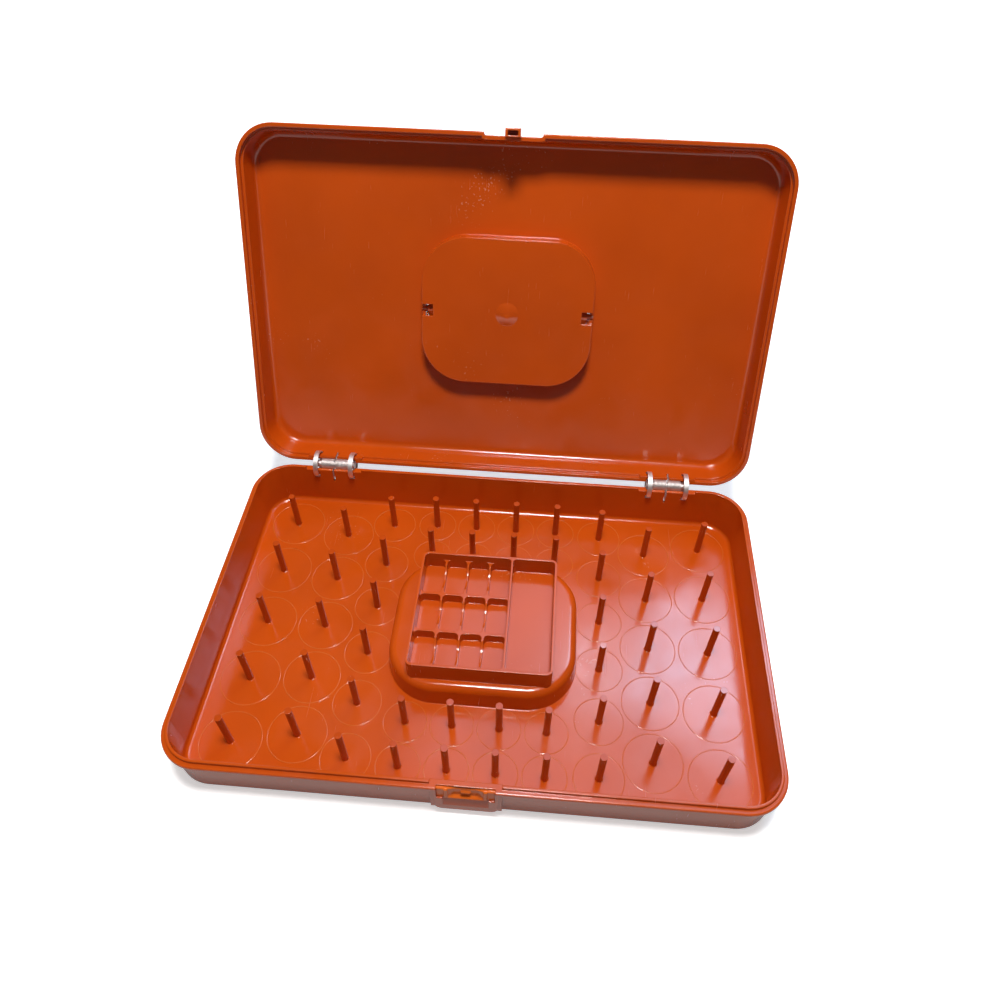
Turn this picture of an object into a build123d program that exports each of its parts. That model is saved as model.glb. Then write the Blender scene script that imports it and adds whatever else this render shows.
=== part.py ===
from build123d import *
from math import radians, sqrt, tan
import os

# Thread spool storage box: a shallow moulded base with upright spool pins and a
# small compartment tray on a centre pedestal, a shallow lid on two ring hinges,
# a push-button latch at the front and a carry handle that folds into the lid.
# Millimetres. Origin at the centre of the underside, +Z up, +X along the width,
# the latch at -Y and the hinges at +Y. The lid stands open on its stop.

os.makedirs("parts", exist_ok=True)

# ---------------------------------------------------------------- box outline
box_width = 330.0
box_depth = 214.6
corner_radius = 24.0
wall = 2.0

# ----------------------------------------------------------------- base shell
base_height = 31.8  # underside to the parting face
floor_thickness = 2.2
base_draft = 2.0  # degrees
flange_overhang = 2.2  # flange beyond the outer wall face
flange_thickness = 3.0
foot_radius = 4.5  # outer edge round the underside
floor_fillet = 2.5
tongue_height = 2.0
tongue_width = 1.5
tongue_setback = 2.7  # outline to the outer face of the tongue

# ------------------------------------------------------------------- pedestal
pedestal_length = 113.0
pedestal_depth = 93.0
pedestal_corner = 30.0
pedestal_height = 16.5  # above the inner floor
pedestal_draft = 4.0
shoulder_radius = 4.5

# ----------------------------------------------------------- compartment tray
tray_length = 84.0
tray_depth = 79.6
tray_corner = 4.0
tray_height = 14.5
tray_wall = 1.4
tray_floor = 1.2
low_divider_height = 8.5  # pedestal top to the level dividers
divider_thickness = 1.2
long_cell_width = 26.0  # the long compartment on the right
cell_columns = 4
cell_rows = 3
cell_corner = 2.6
scoop_depth = 3.6  # dip of the scooped dividers
scoop_span = 17.0  # length of each dip

# ----------------------------------------------------------------- spool pins
spool_pin_height = 28.8
spool_pin_radius = 2.0
outer_inset = 28.1  # end of the box to the outer column
second_gap = 36.5  # outer column to the second
third_gap = 13.9  # pedestal to the third column
middle_pitch = 27.1  # between the four columns in the middle
outer_rows = 5
second_rows = 5
third_rows = 6
outer_row_inset = 28.7  # front and back of the box to the end pins of a column
second_row_inset = 35.7
third_row_inset = 24.3
middle_row_inset = 22.2
middle_row_gap = 12.6  # pedestal to the nearest row

# ------------------------------------------------------------------------ lid
parting_gap = 0.3
lid_height = 20.4
lid_panel = 2.2
lid_draft = 8.0
lid_wall_setback = 1.6  # outline to the lid's outer wall at the rim plane
bead_height = 4.3
lip_width = 2.4
ledge_depth = 3.0
ledge_width = 1.5
lid_edge_radius = 5.0
lid_inner_radius = 3.5
open_angle = 112.7

# ------------------------------------------------------------- handle recess
boss_length = 109.0
boss_depth = 93.0
boss_corner = 28.0
boss_face = 8.5  # rim plane to the inner face of the boss
boss_draft = 2.0
dome_radius = 7.4
dome_height = 1.3
window_length = 8.0
window_width = 7.5
window_depth = 4.0
throat_width = 3.2

# --------------------------------------------------------------------- handle
handle_thickness = 6.5
arm_width = 5.5
grip_width = 9.0
handle_gap = 1.5  # round the folded handle
pivot_depth = 14.5  # rim plane to the pivot axis
trunnion_radius = 2.0
trunnion_clearance = 0.05
handle_edge = 1.4

# --------------------------------------------------------------------- hinges
hinge_offset = 1.8  # outline to the hinge axis
hinge_inset = 51.5  # end of the box to the middle of each hinge
coil_radius = 4.0
coil_length = 19.3
coil_clearance = 0.08
pin_radius = 2.4
ring_radius = 8.8
ring_thickness = 0.9
ring_width = 3.0
ring_offset = 12.0  # hinge centre to the middle of each ring
ring_clearance = 0.4
ring_split = 1.0
wire_radius = 0.45
leg_offset = 0.6  # hinge centre to each wire leg
slit_width = 1.3
slit_reach = 8.0  # outline to the inner end of each slit
base_slit_depth = 10.4  # rim plane to the end of the slit
lid_slit_depth = 6.2
hinge_notch = 38.0  # width without tongue and groove

# ---------------------------------------------------------------------- latch
housing_width = 34.6
housing_foot_width = 32.6
housing_bottom = 6.7
housing_corner = 4.0
latch_notch = 37.6  # width without tongue
latch_web = 0.9  # wall behind the button
latch_inner_setback = 5.4  # outline to the inner face behind the latch
mouth_width = 30.4
mouth_bottom = 20.5
mouth_setback = 2.5  # outline to the back edge of the mouth
jamb_thickness = 2.0
deck_thickness = 1.0
ear_width = 1.0
button_clearance = 0.3
button_travel = 1.1
plate_thickness = 1.0
pad_proud = 1.2
rib_proud = 1.8
rib_inner = 9.0
rib_outer = 11.0
scoop_flat = 5.2
button_dip = 1.2
sill_width = 24.0
sill_height = 8.3
leaf_thickness = 0.2
leaf_height = 4.0
leaf_half_span = 12.0

# ---------------------------------------------------------------------- catch
lip_step = 1.9  # front lip set back by this much
lip_step_width = 34.0
catch_width = 8.9
catch_depth = 4.6
catch_side = 1.55
catch_front = 1.2
catch_drop = 8.0  # catch below the rim plane
bar_thickness = 0.8
bar_height = 1.8
tooth_height = 2.2

overcut = 20.0  # cutters run this far past the edge they open

# --------------------------------------------------------- derived positions
half_depth = box_depth / 2
rim_z = base_height + parting_gap
hinge_y = half_depth + hinge_offset
wall_setback_foot = flange_overhang + base_height * tan(radians(base_draft))
shelf_z = floor_thickness + pedestal_height
hinge_axis = Axis((0, hinge_y, rim_z), (1, 0, 0))
boss_floor = boss_face + wall
pivot_z = rim_z + pivot_depth
lip_front = -half_depth + lip_step
plate_front = lip_front + button_clearance
plate_back = plate_front + plate_thickness
web_face = -half_depth + latch_inner_setback - latch_web
button_top = base_height - deck_thickness - button_clearance
catch_bottom = rim_z - catch_drop
hinge_centres = (hinge_inset - box_width / 2, box_width / 2 - hinge_inset)


def box_outline(setback, mode=Mode.ADD):
    """Outline of the box, moved in by setback."""
    RectangleRounded(
        box_width - 2 * setback,
        box_depth - 2 * setback,
        corner_radius - setback,
        mode=mode,
    )


def at_height(shape, z):
    """Flat faces of shape that lie at height z."""
    return shape.faces().filter_by(GeomType.PLANE).filter_by_position(Axis.Z, z - 0.01, z + 0.01)


def hinge_seats():
    """Round seats for the coils and curved slots for the rings, in either shell."""
    with Locations(*[(x, hinge_y, rim_z) for x in hinge_centres]):
        Cylinder(coil_radius + coil_clearance, 2 * (ring_offset + ring_width / 2 + ring_clearance),
                 rotation=(0, 90, 0), mode=Mode.SUBTRACT)
    slot = ring_width + 2 * ring_clearance
    for x in hinge_centres:
        for side in (-ring_offset, ring_offset):
            with BuildSketch(Plane.YZ.offset(x + side - slot / 2)) as band:
                with Locations((hinge_y, rim_z)):
                    Circle(ring_radius + ring_clearance)
                    Circle(ring_radius - ring_thickness - ring_clearance, mode=Mode.SUBTRACT)
            extrude(band.sketch, amount=slot, mode=Mode.SUBTRACT)


# ================================================================ base shell
with BuildPart() as base_shell:
    # drafted outside, then the parting flange round its top
    with BuildSketch(Plane.XY):
        box_outline(wall_setback_foot)
    extrude(amount=base_height, taper=-base_draft)
    fillet(at_height(base_shell, 0).edges(), radius=foot_radius)
    with BuildSketch(Plane.XY.offset(base_height - flange_thickness)):
        box_outline(0)
    extrude(amount=flange_thickness)
    fillet(at_height(base_shell, base_height).edges(), radius=0.8)
    flange_under = at_height(base_shell, base_height - flange_thickness)[0]
    fillet(flange_under.outer_wire().edges(), radius=0.8)

    # latch housing, standing out from the front wall and a little into the box
    with BuildSketch(Plane.XZ.offset(half_depth)) as housing:
        with BuildLine():
            Polyline(
                (-housing_width / 2, base_height),
                (-housing_foot_width / 2, housing_bottom),
                (housing_foot_width / 2, housing_bottom),
                (housing_width / 2, base_height),
                close=True,
            )
        make_face()
        fillet(housing.vertices().group_by(Axis.Z)[0], radius=housing_corner)
    extrude(amount=-2 * latch_inner_setback)

    # inside of the box
    with BuildSketch(Plane.XY.offset(floor_thickness)):
        box_outline(wall_setback_foot + wall)
    extrude(amount=base_height, taper=-base_draft, mode=Mode.SUBTRACT)
    fillet(at_height(base_shell, floor_thickness).edges(), radius=floor_fillet)

    # web behind the latch, kept after the inside is cut
    with Locations((0, -half_depth + latch_inner_setback, (base_height + housing_bottom) / 2)):
        Box(latch_notch, latch_inner_setback - 1, base_height - housing_bottom,
            align=(Align.CENTER, Align.MAX, Align.CENTER))

    # hollow pedestal for the compartment tray
    with BuildSketch(Plane.XY.offset(floor_thickness)):
        RectangleRounded(pedestal_length, pedestal_depth, pedestal_corner)
    extrude(amount=pedestal_height, taper=pedestal_draft)
    fillet(at_height(base_shell, shelf_z).edges(), radius=shoulder_radius)
    with BuildSketch(Plane.XY):
        RectangleRounded(pedestal_length - 2 * wall, pedestal_depth - 2 * wall, pedestal_corner - wall)
    extrude(amount=shelf_z - wall, taper=pedestal_draft, mode=Mode.SUBTRACT)
    fillet(at_height(base_shell, shelf_z - wall).edges(), radius=shoulder_radius - wall)

    # tongue that locates the lid, left out at the hinges and the latch
    with BuildSketch(Plane.XY.offset(base_height)):
        box_outline(tongue_setback)
        box_outline(tongue_setback + tongue_width, mode=Mode.SUBTRACT)
        with Locations(*[(x, half_depth) for x in hinge_centres]):
            Rectangle(hinge_notch, overcut, mode=Mode.SUBTRACT)
        with Locations((0, -half_depth)):
            Rectangle(latch_notch, overcut, mode=Mode.SUBTRACT)
    extrude(amount=tongue_height)

    hinge_seats()
    # slits for the legs of the base-side coils
    with Locations(*[(x - leg_offset, half_depth, rim_z) for x in hinge_centres]):
        Box(slit_width, 2 * slit_reach, 2 * base_slit_depth, mode=Mode.SUBTRACT)

    # room for the button: a mouth open to the top and front, a wider slot behind
    with Locations((0, -half_depth + mouth_setback, mouth_bottom)):
        Box(mouth_width, overcut, overcut, align=(Align.CENTER, Align.MAX, Align.MIN), mode=Mode.SUBTRACT)
    with Locations((0, web_face, mouth_bottom - button_clearance)):
        Box(mouth_width + 2 * (ear_width + button_clearance),
            web_face + half_depth - jamb_thickness,
            base_height - deck_thickness - mouth_bottom + button_clearance,
            align=(Align.CENTER, Align.MAX, Align.MIN), mode=Mode.SUBTRACT)
    # sloping sill under the mouth
    with BuildSketch(Plane.YZ.offset(-sill_width / 2)):
        with BuildLine():
            Polyline(
                (-half_depth - 0.5, mouth_bottom - sill_height),
                (-half_depth, mouth_bottom - sill_height),
                (-half_depth + jamb_thickness, mouth_bottom + 0.5),
                (-half_depth - 0.5, mouth_bottom + 0.5),
                close=True,
            )
        make_face()
    extrude(amount=sill_width, mode=Mode.SUBTRACT)



def full_column(x, rows, inset):
    """Pin centres of a column that runs from the front to the back."""
    pitch = (box_depth - 2 * inset) / (rows - 1)
    return [(x, (k - (rows - 1) / 2) * pitch) for k in range(rows)]


def middle_column(step):
    """Pin centres of a column that leaves the pedestal free."""
    near = pedestal_depth / 2 + middle_row_gap
    far = half_depth - middle_row_inset
    return [(step * middle_pitch, y) for y in (-far, -near, near, far)]


# ================================================================ spool pins
outer_x = box_width / 2 - outer_inset
second_x = outer_x - second_gap
third_x = pedestal_length / 2 + third_gap
columns = {
    "a": full_column(-outer_x, outer_rows, outer_row_inset),
    "b": full_column(-second_x, second_rows, second_row_inset),
    "c": full_column(-third_x, third_rows, third_row_inset),
    "d": middle_column(-1.5),
    "e": middle_column(-0.5),
    "f": middle_column(0.5),
    "g": middle_column(1.5),
    "h": full_column(third_x, third_rows, third_row_inset),
    "i": full_column(second_x, second_rows, second_row_inset),
    "j": full_column(outer_x, outer_rows, outer_row_inset),
}
pin_nodes = {}
for letter, places in columns.items():
    with BuildPart(Plane.XY.offset(floor_thickness)) as pins:
        with Locations(*places):
            Cylinder(spool_pin_radius, spool_pin_height, align=(Align.CENTER, Align.CENTER, Align.MIN))
    pin_nodes[letter] = pins.part

# ========================================================== compartment tray
cell_left = -tray_length / 2 + tray_wall
cell_right = tray_length / 2 - tray_wall - long_cell_width - divider_thickness
cell_width = (cell_right - cell_left - (cell_columns - 1) * divider_thickness) / cell_columns
inner_depth = tray_depth - 2 * tray_wall
cell_depth = (inner_depth - (cell_rows - 1) * divider_thickness) / cell_rows
low_z = shelf_z + low_divider_height
with BuildPart() as compartment_tray:
    with BuildSketch(Plane.XY.offset(shelf_z)):
        RectangleRounded(tray_length, tray_depth, tray_corner)
    extrude(amount=tray_height)
    # open space above the low dividers
    with BuildSketch(Plane.XY.offset(low_z)):
        with Locations(((cell_left + cell_right) / 2, 0)):
            RectangleRounded(cell_right - cell_left, inner_depth, cell_corner)
    extrude(amount=tray_height, mode=Mode.SUBTRACT)
    # small compartments
    with BuildSketch(Plane.XY.offset(shelf_z + tray_floor)):
        with Locations(((cell_left + cell_right) / 2, 0)):
            with GridLocations(cell_width + divider_thickness, cell_depth + divider_thickness,
                               cell_columns, cell_rows):
                RectangleRounded(cell_width, cell_depth, cell_corner)
    extrude(amount=tray_height, mode=Mode.SUBTRACT)
    # long compartment
    with BuildSketch(Plane.XY.offset(shelf_z + tray_floor)):
        with Locations((tray_length / 2 - tray_wall - long_cell_width / 2, 0)):
            RectangleRounded(long_cell_width, inner_depth, cell_corner)
    extrude(amount=tray_height, mode=Mode.SUBTRACT)
    # dips in the dividers that run front to back
    scoop_radius = (scoop_span**2 / 4 + scoop_depth**2) / (2 * scoop_depth)
    row_pitch = cell_depth + divider_thickness
    for row in range(cell_rows):
        y = (row - (cell_rows - 1) / 2) * row_pitch
        with Locations(((cell_left + cell_right) / 2, y, low_z - scoop_depth + scoop_radius)):
            Cylinder(scoop_radius, cell_right - cell_left - 2 * cell_corner,
                     rotation=(0, 90, 0), mode=Mode.SUBTRACT)

# ============================================================== latch button
with BuildPart() as latch_button:
    # back plate with an ear at each end
    with Locations((0, plate_front, mouth_bottom + button_clearance)):
        Box(mouth_width + 2 * ear_width - 2 * button_clearance, plate_thickness,
            button_top - mouth_bottom - button_clearance,
            align=(Align.CENTER, Align.MIN, Align.MIN))
    # pads, ribs and the scoop between them
    with BuildSketch(Plane.XY.offset(mouth_bottom + button_clearance)):
        with BuildLine():
            half = mouth_width / 2 - button_clearance
            right = Polyline(
                (half, plate_front + plate_thickness / 2),
                (half, plate_front - pad_proud),
                (rib_outer, plate_front - pad_proud),
                (rib_outer, plate_front - rib_proud),
                (rib_inner, plate_front - rib_proud),
                (rib_inner, plate_front - pad_proud),
            )
            TangentArc((scoop_flat, plate_front), (rib_inner, plate_front - pad_proud), tangent=(1, 0))
            Line((scoop_flat, plate_front), (-scoop_flat, plate_front))
            TangentArc((-scoop_flat, plate_front), (-rib_inner, plate_front - pad_proud), tangent=(-1, 0))
            Polyline(
                (-rib_inner, plate_front - pad_proud),
                (-rib_inner, plate_front - rib_proud),
                (-rib_outer, plate_front - rib_proud),
                (-rib_outer, plate_front - pad_proud),
                (-half, plate_front - pad_proud),
                (-half, plate_front + plate_thickness / 2),
            )
            Line((-half, plate_front + plate_thickness / 2), (half, plate_front + plate_thickness / 2))
        make_face()
    extrude(amount=button_top - mouth_bottom - button_clearance)
    # lower ledge of the scoop
    with Locations((0, plate_front, mouth_bottom + button_clearance)):
        Box(2 * rib_inner + 1, pad_proud, 1.5, align=(Align.CENTER, Align.MAX, Align.MIN))
    # shallow dip in the top edge
    dip_radius = (rib_inner**2 + button_dip**2) / (2 * button_dip)
    with Locations((0, plate_front, button_top - button_dip + dip_radius)):
        Cylinder(dip_radius, 8, rotation=(90, 0, 0), mode=Mode.SUBTRACT)
    # tooth that holds the bar of the lid's catch
    tooth_width = catch_width - 2 * catch_side - 2 * button_clearance
    tooth_z = catch_bottom + bar_height + button_clearance
    with BuildSketch(Plane.YZ.offset(-tooth_width / 2)):
        with BuildLine():
            Polyline(
                (plate_front + plate_thickness / 2, tooth_z),
                (plate_front - button_travel, tooth_z),
                (plate_front - button_travel, tooth_z + 0.5),
                (plate_front, tooth_z + tooth_height),
                (plate_front + plate_thickness / 2, tooth_z + tooth_height),
                close=True,
            )
        make_face()
    extrude(amount=tooth_width)

with BuildPart() as latch_spring:
    # bowed leaf between the button and the web
    with BuildSketch(Plane.XY.offset((mouth_bottom + button_top - leaf_height) / 2)):
        with BuildLine():
            bow = plate_back + 0.05
            foot = web_face - 0.05
            ThreePointArc((-leaf_half_span, foot - leaf_thickness), (0, bow), (leaf_half_span, foot - leaf_thickness))
            Line((leaf_half_span, foot - leaf_thickness), (leaf_half_span, foot))
            ThreePointArc((leaf_half_span, foot), (0, bow + leaf_thickness), (-leaf_half_span, foot))
            Line((-leaf_half_span, foot), (-leaf_half_span, foot - leaf_thickness))
        make_face()
    extrude(amount=leaf_height)

# ================================================= lid shell, modelled closed
panel_inner = lid_height - lid_panel
with BuildPart() as lid_shell:
    with BuildSketch(Plane.XY.offset(rim_z)):
        box_outline(lid_wall_setback)
    extrude(amount=lid_height, taper=lid_draft)
    fillet(at_height(lid_shell, rim_z + lid_height).edges(), radius=lid_edge_radius)
    # bead round the rim
    with BuildSketch(Plane.XY.offset(rim_z)):
        box_outline(0)
    extrude(amount=bead_height)
    fillet(at_height(lid_shell, rim_z).edges(), radius=0.5)
    bead_top = at_height(lid_shell, rim_z + bead_height)[0]
    fillet(bead_top.outer_wire().edges(), radius=0.9)
    # inside: straight lip, then the drafted wall up to the panel
    with BuildSketch(Plane.XY.offset(rim_z + ledge_depth)):
        box_outline(lip_width + ledge_width)
    extrude(amount=panel_inner - ledge_depth, taper=lid_draft, mode=Mode.SUBTRACT)
    fillet(at_height(lid_shell, rim_z + panel_inner).edges(), radius=lid_inner_radius)
    with BuildSketch(Plane.XY.offset(rim_z)):
        box_outline(lip_width + ledge_width)
    extrude(amount=ledge_depth, mode=Mode.SUBTRACT)
    # groove over the tongue of the base
    with BuildSketch(Plane.XY.offset(rim_z)):
        box_outline(lip_width)
        box_outline(lip_width + ledge_width, mode=Mode.SUBTRACT)
        with Locations(*[(x, half_depth) for x in hinge_centres]):
            Rectangle(hinge_notch - 1, overcut, mode=Mode.SUBTRACT)
        with Locations((0, -half_depth)):
            Rectangle(latch_notch - 1, overcut, mode=Mode.SUBTRACT)
    extrude(amount=ledge_depth, mode=Mode.SUBTRACT)

    # front lip stepped back above the latch
    with BuildSketch(Plane.XY.offset(rim_z)):
        with Locations((0, lip_front)):
            Rectangle(lip_step_width, lip_width, align=(Align.CENTER, Align.MIN))
    extrude(amount=bead_height)
    with BuildSketch(Plane.XY.offset(rim_z - 1)) as step:
        with Locations((0, lip_front)):
            Rectangle(lip_step_width, 6, align=(Align.CENTER, Align.MAX))
        fillet(step.vertices().group_by(Axis.Y)[-1], radius=1.2)
    extrude(amount=bead_height + 1, mode=Mode.SUBTRACT)

    # boss inside and handle recess outside
    with BuildSketch(Plane.XY.offset(rim_z + boss_face)):
        RectangleRounded(boss_length, boss_depth, boss_corner)
    extrude(amount=panel_inner - boss_face + 0.5, taper=-boss_draft)
    with BuildSketch(Plane.XY.offset(rim_z + boss_floor)):
        RectangleRounded(boss_length - 2 * wall, boss_depth - 2 * wall, boss_corner - wall)
    extrude(amount=lid_height, taper=-boss_draft, mode=Mode.SUBTRACT)
    # shallow dome in the middle of the boss
    with BuildSketch(Plane.XZ):
        with BuildLine():
            dome_z = rim_z + boss_face
            sphere = (dome_radius**2 + dome_height**2) / (2 * dome_height)
            mid = dome_radius / 2
            mid_z = dome_z - dome_height + sphere - sqrt(sphere**2 - mid**2)
            ThreePointArc((0, dome_z - dome_height), (mid, mid_z), (dome_radius, dome_z))
            Polyline((dome_radius, dome_z), (dome_radius, dome_z + 0.5), (0, dome_z + 0.5), (0, dome_z - dome_height))
        make_face()
    revolve(axis=Axis.Z)
    # keyhole seats for the handle: window, throat and round bearing
    for side in (-1, 1):
        edge = side * boss_length / 2
        with Locations((edge - side * 3, 0, rim_z + boss_face + window_depth)):
            Box(window_length, window_width, window_depth + 1,
                align=(Align.CENTER, Align.CENTER, Align.MAX), mode=Mode.SUBTRACT)
        with Locations((edge, 0, pivot_z)):
            Box(window_length, throat_width, pivot_depth - boss_face,
                align=(Align.CENTER, Align.CENTER, Align.MAX), mode=Mode.SUBTRACT)
            Cylinder(trunnion_radius + trunnion_clearance, window_length,
                     rotation=(0, 90, 0), mode=Mode.SUBTRACT)

    hinge_seats()
    with Locations(*[(x + leg_offset, half_depth, rim_z) for x in hinge_centres]):
        Box(slit_width, 2 * slit_reach, 2 * lid_slit_depth, mode=Mode.SUBTRACT)

    # hollow catch with a bar across its back
    with BuildSketch(Plane.XY.offset(catch_bottom)):
        with Locations((0, lip_front)):
            Rectangle(catch_width, catch_depth, align=(Align.CENTER, Align.MAX))
    extrude(amount=catch_drop + bead_height - 0.8)
    with BuildSketch(Plane.XY.offset(catch_bottom)):
        with Locations((0, lip_front - bar_thickness)):
            Rectangle(catch_width - 2 * catch_side, catch_depth - bar_thickness - catch_front,
                      align=(Align.CENTER, Align.MAX))
    extrude(amount=catch_drop + 2, mode=Mode.SUBTRACT)
    with Locations((0, lip_front, catch_bottom + bar_height)):
        Box(catch_width - 2 * catch_side, 2 * bar_thickness + 0.2, catch_drop - bar_height - 1.5,
            align=(Align.CENTER, Align.CENTER, Align.MIN), mode=Mode.SUBTRACT)

# ==================================================== carry handle, as folded
handle_half = boss_length / 2 - wall - handle_gap
handle_reach = boss_depth / 2 - wall - handle_gap
handle_corner = boss_corner - wall - handle_gap
with BuildPart() as carry_handle:
    with BuildSketch(Plane.XY.offset(pivot_z - handle_thickness / 2)):
        with BuildLine():
            Line((-handle_half, 0), (-handle_half, handle_reach - handle_corner))
            RadiusArc((-handle_half, handle_reach - handle_corner),
                      (-handle_half + handle_corner, handle_reach), handle_corner)
            Line((-handle_half + handle_corner, handle_reach), (handle_half - handle_corner, handle_reach))
            RadiusArc((handle_half - handle_corner, handle_reach),
                      (handle_half, handle_reach - handle_corner), handle_corner)
            Line((handle_half, handle_reach - handle_corner), (handle_half, 0))
            Line((handle_half, 0), (handle_half - arm_width, 0))
            inner = handle_corner - arm_width
            Line((handle_half - arm_width, 0), (handle_half - arm_width, handle_reach - grip_width - inner))
            RadiusArc((handle_half - arm_width, handle_reach - grip_width - inner),
                      (handle_half - arm_width - inner, handle_reach - grip_width), -inner)
            Line((handle_half - arm_width - inner, handle_reach - grip_width),
                 (-handle_half + arm_width + inner, handle_reach - grip_width))
            RadiusArc((-handle_half + arm_width + inner, handle_reach - grip_width),
                      (-handle_half + arm_width, handle_reach - grip_width - inner), -inner)
            Line((-handle_half + arm_width, handle_reach - grip_width - inner), (-handle_half + arm_width, 0))
            Line((-handle_half + arm_width, 0), (-handle_half, 0))
        make_face()
    extrude(amount=handle_thickness)
    fillet(carry_handle.edges().filter_by_position(Axis.Y, 0.5, box_depth).filter_by(
        lambda e: abs(e.tangent_at(0.5).Z) < 0.5), radius=handle_edge)
    # round eyes and trunnions
    for side in (-1, 1):
        with Locations((side * (handle_half - arm_width / 2), 0, pivot_z)):
            Cylinder(handle_thickness / 2, arm_width, rotation=(0, 90, 0))
        with Locations((side * (handle_half - 1), 0, pivot_z)):
            Cylinder(trunnion_radius, handle_gap + wall + 1.5,
                     align=(Align.CENTER, Align.CENTER, Align.MIN), rotation=(0, side * 90, 0))

# ====================================================================== hinges


def hinge_pin(x):
    with BuildPart() as pin:
        with Locations((x, hinge_y, rim_z)):
            Cylinder(pin_radius, 2 * ring_offset + ring_width, rotation=(0, 90, 0))
        chamfer(pin.edges().filter_by(GeomType.CIRCLE), length=0.4)
    return pin.part


def hinge_coil(x, side, leg_down):
    """Half of the coil pair, with its wire leg running into the slit of one shell."""
    with BuildPart() as coil:
        with BuildSketch(Plane.YZ.offset(x)):
            with Locations((hinge_y, rim_z)):
                Circle(coil_radius)
                Circle(pin_radius + coil_clearance, mode=Mode.SUBTRACT)
        extrude(amount=side * coil_length / 2)
        way = -1 if leg_down else 1
        reach = base_slit_depth - 3 if leg_down else lid_slit_depth - 1.8
        start = Vector(x + side * leg_offset, hinge_y - 0.8 * coil_radius, rim_z + way * 0.35 * coil_radius)
        end = Vector(x + side * leg_offset, half_depth - wall - flange_overhang - 0.6, rim_z + way * reach)
        run = end - start
        with BuildSketch(Plane(origin=start, z_dir=run)):
            Circle(wire_radius)
        extrude(amount=run.length)
    return coil.part


def hinge_ring(x):
    with BuildPart() as ring:
        with BuildSketch(Plane.YZ.offset(x - ring_width / 2)):
            with Locations((hinge_y, rim_z)):
                Circle(ring_radius)
                Circle(ring_radius - ring_thickness, mode=Mode.SUBTRACT)
                with Locations((ring_radius, 0)):
                    Rectangle(4 * ring_thickness, ring_split, mode=Mode.SUBTRACT)
        extrude(amount=ring_width)
    return ring.part


# ================================================================== finishing


def opened(part):
    """Turn a piece of the lid from closed to open."""
    return part.rotate(hinge_axis, -open_angle)


def save(part, name):
    part.label = name
    export_step(part, f"parts/{name}.step")


save(base_shell.part, "base_shell")
for letter, pins_part in pin_nodes.items():
    save(pins_part, f"spool_pins_{letter}")
save(compartment_tray.part, "compartment_tray")
save(latch_button.part, "latch_button")
save(latch_spring.part, "latch_spring")
save(opened(lid_shell.part), "lid_shell")
handle_axis = Axis((0, 0, pivot_z), (1, 0, 0))
save(opened(carry_handle.part.rotate(handle_axis, open_angle - 90)), "carry_handle")
for name, x in zip(("left", "right"), hinge_centres):
    save(hinge_pin(x), f"hinge_{name}_pin")
    save(hinge_coil(x, -1, True), f"hinge_{name}_coil_base")
    save(opened(hinge_coil(x, 1, False)), f"hinge_{name}_coil_lid")
    save(hinge_ring(x - ring_offset), f"hinge_{name}_ring_outer" if x < 0 else f"hinge_{name}_ring_inner")
    save(hinge_ring(x + ring_offset), f"hinge_{name}_ring_inner" if x < 0 else f"hinge_{name}_ring_outer")
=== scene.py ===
import bmesh
import bpy
from math import cos, pi, radians, sin
from mathutils import Matrix, Vector


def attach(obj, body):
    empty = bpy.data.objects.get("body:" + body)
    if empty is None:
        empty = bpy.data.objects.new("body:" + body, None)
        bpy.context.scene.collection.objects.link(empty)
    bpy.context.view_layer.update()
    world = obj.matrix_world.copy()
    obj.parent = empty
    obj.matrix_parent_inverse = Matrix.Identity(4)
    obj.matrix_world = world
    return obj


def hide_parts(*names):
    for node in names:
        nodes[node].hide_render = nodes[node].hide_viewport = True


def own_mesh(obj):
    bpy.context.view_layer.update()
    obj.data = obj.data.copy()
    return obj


# Thread spool storage box, open, as it stands on a pale table. The scene is in metres.
# Sizes of the object's own pieces are given in millimetres and multiplied by MM.

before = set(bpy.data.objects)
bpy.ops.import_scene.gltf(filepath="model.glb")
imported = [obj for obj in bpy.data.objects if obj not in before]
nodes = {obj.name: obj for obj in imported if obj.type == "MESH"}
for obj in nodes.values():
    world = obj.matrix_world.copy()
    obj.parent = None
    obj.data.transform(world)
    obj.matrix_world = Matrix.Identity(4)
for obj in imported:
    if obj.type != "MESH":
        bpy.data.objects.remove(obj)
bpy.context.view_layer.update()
MM = 0.001


# ------------------------------------------------------------------ materials
def linear(code):
    """Turns an sRGB hex colour into the linear colour that shaders take."""
    parts = [int(code[i:i + 2], 16) / 255 for i in (0, 2, 4)]
    return [c / 12.92 if c <= 0.04045 else ((c + 0.055) / 1.055) ** 2.4 for c in parts] + [1.0]


def add_node(tree, kind, inputs=None, **settings):
    """Adds a node, sets its properties and sets or links its inputs."""
    node = tree.nodes.new(kind)
    for name, value in settings.items():
        setattr(node, name, value)
    for key, value in (inputs or {}).items():
        if isinstance(value, bpy.types.NodeSocket):
            tree.links.new(value, node.inputs[key])
        else:
            node.inputs[key].default_value = value
    return node


def new_material(name):
    material = bpy.data.materials.new(name)
    material.use_nodes = True
    material.node_tree.nodes.clear()
    return material, material.node_tree


def per_metre(size_mm):
    """Texture scale for a pattern whose features are size_mm apart."""
    return 1000.0 / size_mm


# roughness of clean polystyrene, and what smudges and scratches add to it
CLEAN_GLOSS, SMUDGED, SCRATCHED = 0.1, 0.14, 0.1


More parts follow.
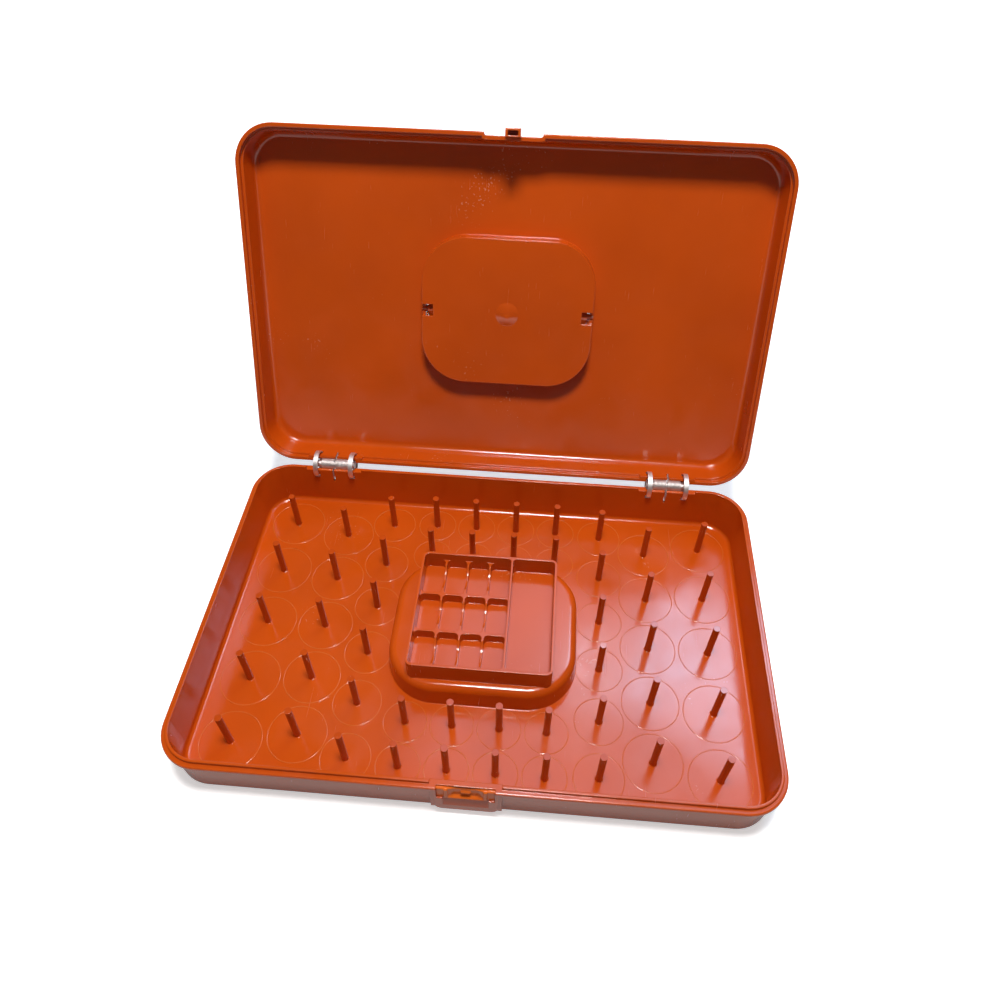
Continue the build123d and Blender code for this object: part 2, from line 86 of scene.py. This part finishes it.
def gloss_polystyrene(name, main, pale, deep, haze=1.0, edge_mm=0.8, gloss=0.5):
    """Polystyrene moulded in a polished tool: an even, saturated colour under a hard
    gloss, with faint flow clouds, orange-peel, smudges, hairline scratches and dust.
    haze scales the smudges, edge_mm rounds the edges, gloss is the specular level."""
    material, tree = new_material(name)
    place = add_node(tree, "ShaderNodeTexCoord").outputs["Object"]
    # flow clouds in the pigment, about 70 mm across
    clouds = add_node(tree, "ShaderNodeTexNoise",
                      {"Vector": place, "Scale": per_metre(70), "Detail": 3.0})
    cloud_ramp = add_node(tree, "ShaderNodeMapRange",
                          {"Value": clouds.outputs["Fac"], "From Min": 0.35, "From Max": 0.68})
    body = add_node(tree, "ShaderNodeMix",
                    {"Factor": cloud_ramp.outputs["Result"],
                     "A": linear(main), "B": linear(deep)}, data_type="RGBA")
    # dust: pale specks 1.6 mm apart, let through only in a few patches 45 mm apart
    dust = add_node(tree, "ShaderNodeTexNoise",
                    {"Vector": place, "Scale": per_metre(1.6), "Detail": 1.0})
    where = add_node(tree, "ShaderNodeTexNoise",
                     {"Vector": place, "Scale": per_metre(45), "Detail": 2.0})
    dust_near = add_node(tree, "ShaderNodeMath",
                         {0: dust.outputs["Fac"], 1: where.outputs["Fac"]}, operation="MULTIPLY")
    specks = add_node(tree, "ShaderNodeMapRange",
                      {"Value": dust_near.outputs[0],
                       "From Min": 0.47, "From Max": 0.53, "To Max": 0.35})
    coloured = add_node(tree, "ShaderNodeMix",
                        {"Factor": specks.outputs["Result"],
                         "A": body.outputs["Result"], "B": linear(pale)}, data_type="RGBA")
    # hairline scratches: thin noise, 0.9 mm apart across, 40 and 12 mm apart along
    stretched = add_node(tree, "ShaderNodeMapping",
                         {"Vector": place, "Rotation": (0.2, 0.1, 0.9),
                          "Scale": (per_metre(0.9), per_metre(40), per_metre(12))})
    hairs = add_node(tree, "ShaderNodeTexNoise",
                     {"Vector": stretched.outputs["Vector"], "Scale": 1.0, "Detail": 2.0})
    hair_line = add_node(tree, "ShaderNodeMapRange",
                         {"Value": hairs.outputs["Fac"], "From Min": 0.66, "From Max": 0.74})
    # smudges from handling, about 25 mm across, dull the gloss
    smudge = add_node(tree, "ShaderNodeTexNoise",
                      {"Vector": place, "Scale": per_metre(25), "Detail": 4.0, "Distortion": 0.6})
    dull = add_node(tree, "ShaderNodeMapRange",
                    {"Value": smudge.outputs["Fac"], "From Min": 0.3, "From Max": 0.75,
                     "To Min": CLEAN_GLOSS, "To Max": CLEAN_GLOSS + SMUDGED * haze})
    rough = add_node(tree, "ShaderNodeMath",
                     {0: hair_line.outputs["Result"], 1: SCRATCHED, 2: dull.outputs["Result"]},
                     operation="MULTIPLY_ADD")
    # orange-peel of a polished tool, 2.5 mm apart, on slow waves where the wall shrank,
    # 30 mm apart and six times as high; all of it is a few microns of relief
    peel = add_node(tree, "ShaderNodeTexNoise",
                    {"Vector": place, "Scale": per_metre(2.5), "Detail": 2.0})
    waves = add_node(tree, "ShaderNodeTexNoise",
                     {"Vector": place, "Scale": per_metre(30), "Detail": 1.0})
    relief = add_node(tree, "ShaderNodeMath",
                      {0: waves.outputs["Fac"], 1: 6.0, 2: peel.outputs["Fac"]},
                      operation="MULTIPLY_ADD")
    round_edge = add_node(tree, "ShaderNodeBevel", {"Radius": edge_mm * MM}, samples=6)
    bump = add_node(tree, "ShaderNodeBump",
                    {"Height": relief.outputs[0], "Strength": 0.22, "Distance": 0.02 * MM,
                     "Normal": round_edge.outputs["Normal"]})
    shader = add_node(tree, "ShaderNodeBsdfPrincipled",
                      {"Base Color": coloured.outputs["Result"], "Roughness": rough.outputs[0],
                       "IOR": 1.59, "Specular IOR Level": gloss,
                       "Normal": bump.outputs["Normal"]})
    add_node(tree, "ShaderNodeOutputMaterial", {"Surface": shader.outputs["BSDF"]})
    return material


def zinc_plated_steel(name, grain_mm):
    """Bright zinc plate on spring steel: a pale, slightly warm metal with fine drawn
    lines in its sheen and small patches of a darker tone."""
    material, tree = new_material(name)
    place = add_node(tree, "ShaderNodeTexCoord").outputs["Object"]
    # drawn lines, grain_mm apart across and 6 mm apart along
    drawn = add_node(tree, "ShaderNodeMapping",
                     {"Vector": place,
                      "Scale": (per_metre(grain_mm), per_metre(6), per_metre(6))})
    lines = add_node(tree, "ShaderNodeTexNoise",
                     {"Vector": drawn.outputs["Vector"], "Scale": 1.0, "Detail": 3.0})
    # patches of the plating, 3 mm apart
    patches = add_node(tree, "ShaderNodeTexNoise",
                       {"Vector": place, "Scale": per_metre(3), "Detail": 3.0})
    tone = add_node(tree, "ShaderNodeMix",
                    {"Factor": patches.outputs["Fac"],
                     "A": linear("faf5f1"), "B": linear("dccfca")}, data_type="RGBA")
    rough = add_node(tree, "ShaderNodeMapRange",
                     {"Value": lines.outputs["Fac"], "To Min": 0.4, "To Max": 0.65})
    round_edge = add_node(tree, "ShaderNodeBevel", {"Radius": 0.15 * MM}, samples=4)
    bump = add_node(tree, "ShaderNodeBump",
                    {"Height": lines.outputs["Fac"], "Strength": 0.3, "Distance": 0.02 * MM,
                     "Normal": round_edge.outputs["Normal"]})
    shader = add_node(tree, "ShaderNodeBsdfPrincipled",
                      {"Base Color": tone.outputs["Result"], "Metallic": 1.0,
                       "Roughness": rough.outputs["Result"], "Normal": bump.outputs["Normal"]})
    add_node(tree, "ShaderNodeOutputMaterial", {"Surface": shader.outputs["BSDF"]})
    return material


# the shells: burnt orange under a hard gloss with soft edges
box_plastic = gloss_polystyrene("box_polystyrene", "c74d0a", "e0a080", "bb4708")
# the tray: a touch lighter, with crisper edges on its thin dividers
tray_plastic = gloss_polystyrene("tray_polystyrene", "c74e0f", "e0a080", "bb480c", edge_mm=0.5)
# the pins: darker, cleaner and sharp at the tips
pin_plastic = gloss_polystyrene("pin_polystyrene", "bd460b", "e0a080", "b03f09",
                                haze=0.7, edge_mm=0.3)
# the handle: the shells' orange, slightly deeper
handle_plastic = gloss_polystyrene("handle_polystyrene", "c64806", "e0a080", "ba4205")
# the button: lighter and less glossy than the shells, as fitted to the photograph; the lighter
# colour is painted light, standing for the front light that falls into its recess
painted_light_button_plastic = gloss_polystyrene("button_polystyrene_painted_light", "e66c22", "e8a880", "da611c",
                                   edge_mm=0.3, gloss=0.12)
# the circles on the floor: fine raised lines that catch the light; their paler colour is a painted
# highlight on the shells' plastic
highlight_ridge_plastic = gloss_polystyrene("ridge_polystyrene_painted_highlight", "cc6024", "eeb898", "c4561c", haze=0.2)
coil_steel = zinc_plated_steel("coil_zinc_steel", 0.5)
ring_steel = zinc_plated_steel("ring_zinc_steel", 1.2)


def finish_with(obj, material):
    obj.data.materials.clear()
    obj.data.materials.append(material)


for name, obj in nodes.items():
    if name.startswith("spool_pins"):
        finish_with(obj, pin_plastic)
    elif name == "carry_handle":
        finish_with(obj, handle_plastic)
    elif name == "compartment_tray":
        finish_with(obj, tray_plastic)
    elif name == "latch_button":
        finish_with(obj, painted_light_button_plastic)
    elif "ring" in name:
        finish_with(obj, ring_steel)
    elif name.startswith("hinge") or name == "latch_spring":
        finish_with(obj, coil_steel)
    else:
        finish_with(obj, box_plastic)


# -------------------------------------------------------------- mesh builders
def mesh_object(name, bm, material, body):
    mesh = bpy.data.meshes.new(name)
    bmesh.ops.recalc_face_normals(bm, faces=bm.faces)
    bm.to_mesh(mesh)
    bm.free()
    for face in mesh.polygons:
        face.use_smooth = True
    obj = bpy.data.objects.new(name, mesh)
    bpy.context.scene.collection.objects.link(obj)
    finish_with(obj, material)
    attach(obj, body)
    return obj


def lathe(bm, profile, centre, steps):
    """Turns a profile of (radius, height) points round a vertical line through centre."""
    rings = []
    for k in range(steps):
        a = 2 * pi * k / steps
        rings.append([bm.verts.new(Vector(centre) + Vector((r * cos(a), r * sin(a), h)))
                      for r, h in profile])
    for k in range(steps):
        here, there = rings[k], rings[(k + 1) % steps]
        for j in range(len(profile) - 1):
            bm.faces.new((here[j], there[j], there[j + 1], here[j + 1]))


# -------------------------------------------- circles and collars on the floor
floor_z = 2.2 * MM
columns = {  # x, rows from the middle, radius of the circle on the floor
    "a": (-136.9, [k * 39.3 for k in (-2, -1, 0, 1, 2)], 17.6),
    "b": (-100.4, [k * 35.8 for k in (-2, -1, 0, 1, 2)], 16.8),
    "c": (-70.4, [k * 33.2 for k in (-2.5, -1.5, -0.5, 0.5, 1.5, 2.5)], 14.2),
    "d": (-40.65, [-85.1, -59.1, 59.1, 85.1], 12.5),
    "e": (-13.55, [-85.1, -59.1, 59.1, 85.1], 12.5),
}
mirrored = {"f": "e", "g": "d", "h": "c", "i": "b", "j": "a"}
for new, old in mirrored.items():
    x, rows, radius = columns[old]
    columns[new] = (-x, rows, radius)

ridge_half, ridge_height, ridge_parts, ridge_steps = 0.3, 0.22, 6, 72
bead_inner, bead_size, bead_parts, bead_steps = 1.95, 0.6, 5, 24
sunk = 0.02  # how deep both start below the floor, so that no gap shows
ridge = bmesh.new()
collars = bmesh.new()
for x, rows, radius in columns.values():
    for y in rows:
        centre = (x * MM, y * MM, floor_z)
        # half-round ridge on the floor
        angles = [pi * k / ridge_parts for k in range(ridge_parts + 1)]
        ridge_line = [((radius + ridge_half * cos(a)) * MM, (ridge_height * sin(a) - sunk) * MM)
                      for a in angles]
        lathe(ridge, ridge_line, centre, ridge_steps)
        # hollow fillet where the pin meets the floor
        angles = [pi / 2 * k / bead_parts for k in range(bead_parts + 1)]
        bead = [((bead_inner + bead_size * (1 - sin(a))) * MM,
                 (bead_size * (1 - cos(a)) - sunk) * MM) for a in angles]
        lathe(collars, bead, centre, bead_steps)
mesh_object("floor_circles", ridge, highlight_ridge_plastic, "base")
mesh_object("pin_foot_fillets", collars, box_plastic, "base")


# ------------------------------------------------------- coils of the hinges
def wire(bm, points, radius, sides=8):
    """Lays a wire along a line of points and closes its ends."""
    rings = []
    side = Vector((1, 0, 0))
    for k, here in enumerate(points):
        run = (points[min(k + 1, len(points) - 1)] - points[max(k - 1, 0)]).normalized()
        side = (side - run * side.dot(run)).normalized()
        over = run.cross(side)
        angles = [2 * pi * j / sides for j in range(sides)]
        rings.append([bm.verts.new(here + radius * (cos(a) * side + sin(a) * over))
                      for a in angles])
    for low, high in zip(rings, rings[1:]):
        for j in range(sides):
            bm.faces.new((low[j], low[(j + 1) % sides], high[(j + 1) % sides], high[j]))
    bm.faces.new(rings[0][::-1])
    bm.faces.new(rings[-1])


hinge_y, hinge_z = 109.1, 32.1
hinge_middle = 113.5  # of each hinge, from the middle of the box
lid_open = 112.7  # degrees between the closed lid and the lid of the photograph
wire_radius = 0.45
coil_radius = 3.55  # to the middle of the wire
half_coil = 9.65
coil_gap = 0.6  # from the middle of the hinge to the first turn of each half
turn_steps = 28
leg_end_y, base_leg_end, lid_leg_end = 102.6, -7.2, 4.2  # y, and heights from the hinge axis


def coil(name, middle, side, node, body):
    """Close-wound half coil that ends in a straight leg. The lid's half is laid out for
    the closed lid and turned open with it."""
    pitch = 2 * wire_radius
    turns = (half_coil - coil_gap - wire_radius) / pitch
    leave = pi  # the wire leaves towards the wall, level with the hinge axis
    sense = 1 if side < 0 else -1
    points = []
    steps = int(turns * turn_steps)
    for k in range(steps + 1):
        left = turns * (1 - k / steps)
        a = leave - sense * 2 * pi * left
        points.append(Vector((side * (coil_gap + left * pitch),
                              coil_radius * cos(a), coil_radius * sin(a))))
    points.append(Vector((side * coil_gap, leg_end_y - hinge_y,
                          base_leg_end if side < 0 else lid_leg_end)))
    turn = Matrix.Rotation(radians(-lid_open if side > 0 else 0), 3, "X")
    place = Vector((middle, hinge_y, hinge_z))
    bm = bmesh.new()
    wire(bm, [(place + turn @ p) * MM for p in points], wire_radius * MM)
    piece = mesh_object(name, bm, coil_steel, body)
    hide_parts(node)


for label, middle in (("left", -hinge_middle), ("right", hinge_middle)):
    coil(f"{label}_coil_wire_base", middle, -1, f"hinge_{label}_coil_base", "base")
    coil(f"{label}_coil_wire_lid", middle, 1, f"hinge_{label}_coil_lid", "lid")

# ------------------------------------------------------ push button of the latch
button_half, button_low, button_high = 15.9, 20.8, 30.5
button_face, button_back = -106.9, -104.1
cheek_from, cheek_to, cheek_depth = 11.0, 11.5, 0.6
end_from, end_depth = 14.4, 0.5
scoop_half, scoop_depth, scoop_wall = 9.0, 1.8, 0.4
scoop_flat, scoop_shoal = 5.2, 0.9  # half of the deep part, and how far its sides rise
lip_top = 22.9
top_dip, dip_wall = 1.2, 0.6
tooth_half, tooth_low, tooth_high = 2.5, 26.2, 28.6
tooth_rise, tooth_wall, tooth_flat = 1.05, 0.2, 0.4


def smooth(low, high, value):
    """Eases from 0 at low to 1 at high."""
    t = min(1.0, max(0.0, (value - low) / (high - low)))
    return t * t * (3 - 2 * t)


def button_front(x, z):
    """Depth of the face behind the foremost plane: cheeks, two ribs, a finger scoop
    between them with a lip at its foot, and the tooth that holds the lid's catch."""
    far = abs(x)
    cheek = (cheek_depth * smooth(cheek_from, cheek_to, far)
             + end_depth * smooth(end_from, button_half, far) ** 2)
    inside = 1 - smooth(scoop_half, scoop_half + scoop_wall, far)
    dish = ((scoop_depth - scoop_shoal * smooth(scoop_flat, scoop_half, far))
            * smooth(button_low, lip_top, z))
    tooth = (1 - smooth(tooth_half, tooth_half + tooth_wall, far)) * tooth_rise
    if z < tooth_low:
        tooth = 0
    return cheek + inside * dish - tooth * (1 - smooth(tooth_low + tooth_flat, tooth_high, z))


button = bmesh.new()
across, up = 160, 40
front, back = [], []
for i in range(across + 1):
    x = -button_half + 2 * button_half * i / across
    inside = 1 - smooth(scoop_half, scoop_half + dip_wall, abs(x))
    top = button_high - top_dip * inside * (1 - (x / scoop_half) ** 2 if abs(x) < scoop_half else 0)
    heights = [button_low + (top - button_low) * j / up for j in range(up + 1)]
    front.append([button.verts.new(Vector((x, button_face + button_front(x, z), z)) * MM)
                  for z in heights])
    back.append([button.verts.new(Vector((x, button_back, z)) * MM) for z in (button_low, top)])
for i in range(across):
    for j in range(up):
        button.faces.new((front[i][j], front[i + 1][j], front[i + 1][j + 1], front[i][j + 1]))
    button.faces.new((back[i][0], back[i][1], back[i + 1][1], back[i + 1][0]))
    button.faces.new((front[i][0], back[i][0], back[i + 1][0], front[i + 1][0]))
    button.faces.new((front[i][up], front[i + 1][up], back[i + 1][1], back[i][1]))
for i in (0, across):
    button.faces.new(front[i] + back[i][::-1])
scooped_button = mesh_object("scooped_button", button, painted_light_button_plastic, "button")
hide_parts("latch_button")

# bowed leaf behind the button, built in its bowed shape; on the real latch it flattens against the
# web as the button is pressed
leaf_half, leaf_low, leaf_high = 12.0, 23.5, 27.5
leaf_seat, leaf_bow, leaf_thick = -102.85, 0.95, 0.25
leaf_parts = 48
leaf = bmesh.new()
strips = []
for i in range(leaf_parts + 1):
    x = leaf_half * (2 * i / leaf_parts - 1)
    rear = leaf_seat - leaf_bow * (1 - (x / leaf_half) ** 2)
    front_y = rear - leaf_thick
    strips.append([leaf.verts.new(Vector((x, y, z)) * MM) for y, z in (
        (rear, leaf_low), (rear, leaf_high), (front_y, leaf_high), (front_y, leaf_low))])
for here, there in zip(strips, strips[1:]):
    for j in range(4):
        leaf.faces.new((here[j], there[j], there[(j + 1) % 4], here[(j + 1) % 4]))
leaf.faces.new(strips[0][::-1])
leaf.faces.new(strips[-1])
leaf_spring = mesh_object("leaf_spring", leaf, coil_steel, "base")
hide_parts("latch_spring")
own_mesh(leaf_spring)

# --------------------------------------- blocks beside the bearings of the handle, as painted shade
# these blocks are painted shade: they close the pivot windows of the lid so that these look dark,
# not showing the bright table behind
shade_block_x, shade_block_thick = 51.9, 0.65
shade_block_y, shade_block_width = 3.9, 3.4
shade_block_top, shade_block_foot = 12.5, 20.2  # above the hinge axis, with the lid closed
shade_block_edge = 0.3
ribs = bmesh.new()
lid_turn = Matrix.Rotation(radians(-lid_open), 3, "X")
hinge = Vector((0, hinge_y, hinge_z))
for side in (-1, 1):
    for way in (-1, 1):
        for vert in bmesh.ops.create_cube(ribs, size=1.0)["verts"]:
            x = side * (shade_block_x + shade_block_thick * vert.co.x)
            y = way * (shade_block_y + shade_block_width * vert.co.y)
            z = hinge_z + shade_block_top + (vert.co.z + 0.5) * (shade_block_foot - shade_block_top)
            vert.co = (hinge + lid_turn @ (Vector((x, y, z)) - hinge)) * MM
bmesh.ops.bevel(ribs, geom=ribs.edges[:], offset=shade_block_edge * MM, segments=2, affect="EDGES")
mesh_object("bearing_ribs", ribs, box_plastic, "lid")


# ------------------------------------------------------------ table and light
def seen_by_eye_or_gloss(tree):
    """First 1 for the camera alone, then 1 for the camera and for what gloss and glass
    show; both are 0 for scattered light."""
    path = add_node(tree, "ShaderNodeLightPath")
    eye_gloss = add_node(tree, "ShaderNodeMath",
                         {0: path.outputs["Is Camera Ray"], 1: path.outputs["Is Glossy Ray"]},
                         operation="MAXIMUM")
    or_glass = add_node(tree, "ShaderNodeMath",
                        {0: eye_gloss.outputs[0], 1: path.outputs["Is Transmission Ray"]},
                        operation="MAXIMUM")
    return path.outputs["Is Camera Ray"], or_glass.outputs[0]


# the plain white laminate runs up to full white away from the box
glow_in_gloss, glow_for_eye = 0.2, 0.3  # near the box; the camera sees both together
full_white_from, full_white_at = 0.25, 0.7  # metres from the middle of the table
table_half = 6.0  # metres

table, tree = new_material("matt_white_laminate")
by_camera, by_both = seen_by_eye_or_gloss(tree)
middle_of_table = add_node(tree, "ShaderNodeTexCoord").outputs["Object"]
near_white = add_node(tree, "ShaderNodeMath", {0: by_camera, 1: glow_for_eye, 2: glow_in_gloss},
                      operation="MULTIPLY_ADD")
distance = add_node(tree, "ShaderNodeVectorMath", {0: middle_of_table}, operation="LENGTH")
far_white = add_node(tree, "ShaderNodeMapRange",
                     {"Value": distance.outputs["Value"],
                      "From Min": full_white_from, "From Max": full_white_at,
                      "To Min": near_white.outputs[0], "To Max": 1.0})
glow = add_node(tree, "ShaderNodeMath", {0: by_both, 1: far_white.outputs["Result"]},
                operation="MULTIPLY")
tone = add_node(tree, "ShaderNodeMix",
                {"Factor": by_camera, "A": linear("aca8a4"), "B": linear("fcfbfa")},
                data_type="RGBA")
white = add_node(tree, "ShaderNodeBsdfPrincipled",
                 {"Base Color": tone.outputs["Result"], "Roughness": 0.75,
                  "Emission Color": linear("ffffff"), "Emission Strength": glow.outputs[0]})
add_node(tree, "ShaderNodeOutputMaterial", {"Surface": white.outputs["BSDF"]})
ground = bmesh.new()
bmesh.ops.create_grid(ground, x_segments=8, y_segments=8, size=table_half)
mesh = bpy.data.meshes.new("table_top")
ground.to_mesh(mesh)
ground.free()
table_top = bpy.data.objects.new("table_top", mesh)
bpy.context.scene.collection.objects.link(table_top)
finish_with(table_top, table)

# gloss and glass show the white backdrop behind the table, low down; the rest of the room
# is dim, and the camera sees plain white all round
backdrop_from, backdrop_full = 0.6, 0.95  # share of +Y in the direction looked at
dim_scattered, dim_in_gloss = 0.14, 0.05

world = bpy.data.worlds.new("soft_white_room")
bpy.context.scene.world = world
world.use_nodes = True
world.node_tree.nodes.clear()
room = world.node_tree
by_camera, by_both = seen_by_eye_or_gloss(room)
looked_at = add_node(room, "ShaderNodeTexCoord").outputs["Generated"]
direction = add_node(room, "ShaderNodeSeparateXYZ", {"Vector": looked_at})
backdrop = add_node(room, "ShaderNodeMapRange",
                    {"Value": direction.outputs["Y"],
                     "From Min": backdrop_from, "From Max": backdrop_full})
shown = add_node(room, "ShaderNodeMath", {0: by_both, 1: backdrop.outputs["Result"]},
                 operation="MULTIPLY")
whole = add_node(room, "ShaderNodeMath", {0: shown.outputs[0], 1: by_camera},
                 operation="MAXIMUM")
dim = add_node(room, "ShaderNodeMapRange",
               {"Value": by_both, "To Min": dim_scattered, "To Max": dim_in_gloss})
level = add_node(room, "ShaderNodeMapRange",
                 {"Value": whole.outputs[0], "To Min": dim.outputs["Result"], "To Max": 1.0})
sky = add_node(room, "ShaderNodeBackground",
               {"Color": linear("ffffff"), "Strength": level.outputs["Result"]})
add_node(room, "ShaderNodeOutputWorld", {"Surface": sky.outputs["Background"]})


def soft_box(name, place, aim, size, power, colour="ffffff"):
    """Adds a rectangular lamp; place, aim and size are in metres, power in watts."""
    lamp = bpy.data.lights.new(name, "AREA")
    lamp.shape = "RECTANGLE"
    lamp.size, lamp.size_y = size
    lamp.energy = power
    lamp.color = linear(colour)[:3]
    obj = bpy.data.objects.new(name, lamp)
    obj.location = place
    obj.rotation_euler = (Vector(aim) - Vector(place)).to_track_quat("-Z", "Y").to_euler()
    bpy.context.scene.collection.objects.link(obj)


soft_box("overhead_softbox", place=(0.03, -0.11, 1.25), aim=(0.0, 0.05, 0.05),
         size=(0.26, 0.2), power=14.0)
soft_box("window_pane_wide", place=(0.46, 0.66, 1.2), aim=(0.12, 0.0, 0.0),
         size=(0.38, 0.3), power=3.0, colour="b8deff")
soft_box("window_pane_narrow", place=(0.17, 0.65, 1.2), aim=(0.06, 0.0, 0.0),
         size=(0.08, 0.12), power=0.4, colour="d8eaff")
soft_box("ceiling_glow", place=(0.2, 0.6, 1.3), aim=(0.0, 0.0, 0.0),
         size=(0.8, 0.6), power=3.0, colour="c4deff")

# --------------------------------------------------------------------- camera
# fitted to the pin grid, the rims and the lid of the photograph
right = Vector((0.99671, 0.08069, 0.00709))
down = Vector((0.06439, -0.73608, -0.67382))
ahead = Vector((-0.04915, 0.67206, -0.73886))
lens_mm, sensor_mm = 29.125, 36.0
eye = Vector((26.8, -261.2, 443.1)) * MM
camera = bpy.data.cameras.new("camera")
camera.sensor_width = sensor_mm
camera.lens = lens_mm
camera.shift_x = 0.001
camera.shift_y = -0.029
camera.clip_start = 0.01
seat = bpy.data.objects.new("camera", camera)
seat.matrix_world = Matrix((
    (right.x, -down.x, -ahead.x, eye.x),
    (right.y, -down.y, -ahead.y, eye.y),
    (right.z, -down.z, -ahead.z, eye.z),
    (0, 0, 0, 1),
))
bpy.context.scene.collection.objects.link(seat)
bpy.context.scene.camera = seat
bpy.context.scene.view_settings.view_transform = "Standard"
